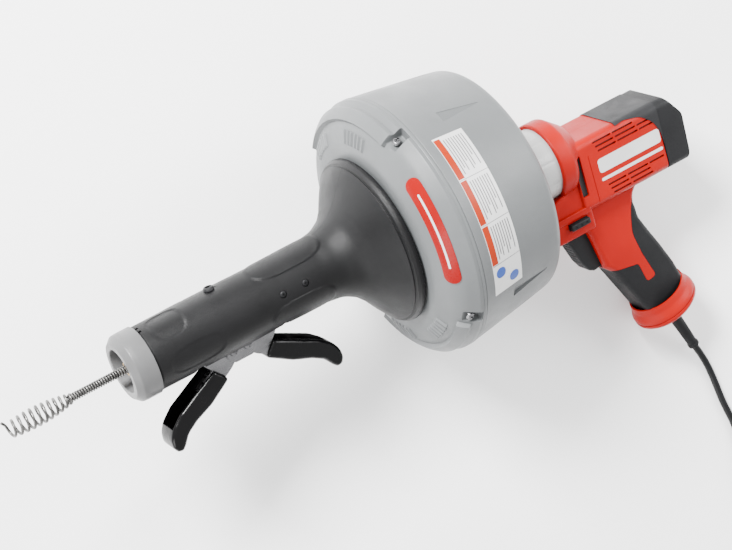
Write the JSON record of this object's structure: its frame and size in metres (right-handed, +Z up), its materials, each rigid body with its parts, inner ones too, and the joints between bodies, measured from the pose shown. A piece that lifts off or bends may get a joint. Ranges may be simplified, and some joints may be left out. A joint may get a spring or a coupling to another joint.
{
  "type": "drum drain cleaner",
  "caption": "Hand-held powered drum drain cleaner: cable drum, pistol-grip motor unit, swivelling front handle with two feed levers, bulb-tipped cable, mains cord coiled beside it.",
  "frame": {"origin": "centre of the floor rectangle under the machine without its cord, on the floor", "axes": "+X along the machine from bulb tip to motor as seen from above, +Z up from the floor; the machine lies on its drum and the foot of its grip"},
  "size_m": [0.7714, 0.5774, 0.2459],
  "materials": {
    "drum_grey": "satin moulded light grey plastic with faint turning and moulding marks",
    "inner_black": "plain black moulded plastic",
    "handle_black": "satin black moulded plastic with a fine grain",
    "nose_grey": "light grey moulded plastic",
    "housing_red": "semi-gloss red-orange moulded plastic with a fine spark grain",
    "grip_rubber": "soft dark grey overmoulded rubber, fine texture",
    "cap_black": "dark grey moulded plastic",
    "lever_vinyl": "glossy dipped vinyl, slightly uneven",
    "gear_case_white": "off-white painted casting",
    "bright_steel": "zinc-plated bright steel",
    "roller_chrome": "hardened and polished",
    "cable_steel": "wound spring steel wire, lightly oiled",
    "inner_steel": "machined steel",
    "bronze": "sintered bronze",
    "armature_copper": "copper windings on laminated steel",
    "brush_carbon": "pressed carbon",
    "cord_black": "smooth black flexible sheath",
    "tie_fabric": "woven hook-and-loop band"
  },
  "bodies": {
    "motor_unit": {"motor_housing_left": "housing_red", "motor_housing_right": "housing_red", "rear_cap": "cap_black", "grip_overmould": "grip_rubber", "strain_relief": "cord_black", "grip_flare": "housing_red", "gear_case": "gear_case_white", "gear_plate": "inner_steel", "stator": "inner_steel", "spindle_bearing": "inner_steel", "armature_bearing_front": "inner_steel", "armature_bearing_rear": "inner_steel", "brush_upper": "brush_carbon", "brush_lower": "brush_carbon", "switch_body": "inner_black", "housing_screw_1": "bright_steel", "housing_screw_2": "bright_steel", "housing_screw_3": "bright_steel", "cord": "cord_black", "cord_coil": "cord_black", "coil_tie": "tie_fabric", "plug": "cord_black"},
    "drum": {"drum_front_shell": "drum_grey", "drum_rear_shell": "drum_grey", "inner_drum": "inner_black", "stored_cable": "cable_steel", "drum_hub": "inner_steel", "spindle": "inner_steel", "drum_screw_1": "bright_steel", "drum_screw_2": "bright_steel", "drum_screw_3": "bright_steel", "drum_screw_4": "bright_steel"},
    "handle": {"handle_left": "handle_black", "handle_right": "handle_black", "nose_ring": "nose_grey", "guide_bush": "bronze", "swivel_bearing": "inner_steel", "roller_frame": "bright_steel", "lever_bracket": "bright_steel", "lever_spring": "bright_steel", "front_lever_pin": "bright_steel", "rear_lever_pin": "bright_steel", "top_screw": "bright_steel", "side_screw_front": "bright_steel", "side_screw_rear": "bright_steel"},
    "front_lever": {"front_lever_arm": "bright_steel", "front_lever_grip": "lever_vinyl"},
    "rear_lever": {"rear_lever_arm": "bright_steel", "rear_lever_grip": "lever_vinyl"},
    "front_roller": {"front_roller": "roller_chrome"},
    "rear_roller": {"rear_roller": "roller_chrome"},
    "front_idler": {"front_idler": "roller_chrome"},
    "rear_idler": {"rear_idler": "roller_chrome"},
    "cable": {"drain_cable": "cable_steel", "bulb_auger": "cable_steel"},
    "trigger": {"trigger": "cap_black"},
    "direction_bar": {"direction_bar": "cap_black"},
    "layshaft": {"layshaft": "inner_steel"},
    "armature": {"armature": "armature_copper", "cooling_fan": "inner_black"}
  },
  "joints": [
    {"name": "drum_spin", "type": "hinge", "parent": "motor_unit", "child": "drum", "pos_m": [0.14435, 0.0666, 0.10924], "axis": [0.9896, 0, -0.1439], "continuous": true},
    {"name": "handle_swivel", "type": "hinge", "parent": "drum", "child": "handle", "pos_m": [-0.00409, 0.0666, 0.13083], "axis": [0.9896, 0, -0.1439], "continuous": true},
    {"name": "cable_feed", "type": "slide", "parent": "drum", "child": "cable", "axis": [-0.9896, 0, 0.1439], "range_m": [-0.045, 0.13]},
    {"name": "front_lever_hinge", "type": "hinge", "parent": "handle", "child": "front_lever", "pos_m": [-0.14371, 0.04066, 0.14356], "axis": [-0.1383, 0.2778, -0.9506], "range_deg": [0, 17.5], "stiffness_Nm_per_rad": 0.8, "springref_deg": -20.05},
    {"name": "rear_lever_hinge", "type": "hinge", "parent": "handle", "child": "rear_lever", "pos_m": [-0.12986, 0.04066, 0.14154], "axis": [0.1383, -0.2778, 0.9506], "range_deg": [0, 17.5], "stiffness_Nm_per_rad": 0.8, "springref_deg": -20.05},
    {"name": "front_roller_spin", "type": "hinge", "parent": "front_lever", "child": "front_roller", "pos_m": [-0.17114, 0.04739, 0.14951], "axis": [0.0008, 0.2751, -0.9614], "continuous": true},
    {"name": "rear_roller_spin", "type": "hinge", "parent": "rear_lever", "child": "rear_roller", "pos_m": [-0.10187, 0.04739, 0.13944], "axis": [-0.2747, 0.2751, -0.9213], "continuous": true},
    {"name": "front_idler_spin", "type": "hinge", "parent": "handle", "child": "front_idler", "pos_m": [-0.1665, 0.07803, 0.15779], "axis": [-0.2747, 0.2751, -0.9213], "continuous": true},
    {"name": "rear_idler_spin", "type": "hinge", "parent": "handle", "child": "rear_idler", "pos_m": [-0.10396, 0.07803, 0.1487], "axis": [0.0008, 0.2751, -0.9614], "continuous": true},
    {"name": "trigger_pull", "type": "slide", "parent": "motor_unit", "child": "trigger", "axis": [0.9896, 0, -0.1439], "range_m": [0, 0.007], "stiffness_N_per_m": 900, "springref_m": -0.004},
    {"name": "direction_push", "type": "slide", "parent": "motor_unit", "child": "direction_bar", "axis": [-0.1383, 0.2778, -0.9506], "range_m": [-0.003, 0.003]},
    {"name": "layshaft_spin", "type": "hinge", "parent": "motor_unit", "child": "layshaft", "pos_m": [0.22094, 0.04986, 0.08002], "axis": [0.9896, 0, -0.1439], "continuous": true},
    {"name": "armature_spin", "type": "hinge", "parent": "motor_unit", "child": "armature", "pos_m": [0.26878, 0.03682, 0.08243], "axis": [0.9896, 0, -0.1439], "continuous": true}
  ],
  "couplings": [
    {"joint": "layshaft_spin", "follows": "drum_spin", "ratio": -4.4444},
    {"joint": "armature_spin", "follows": "drum_spin", "ratio": 13.333}
  ]
}
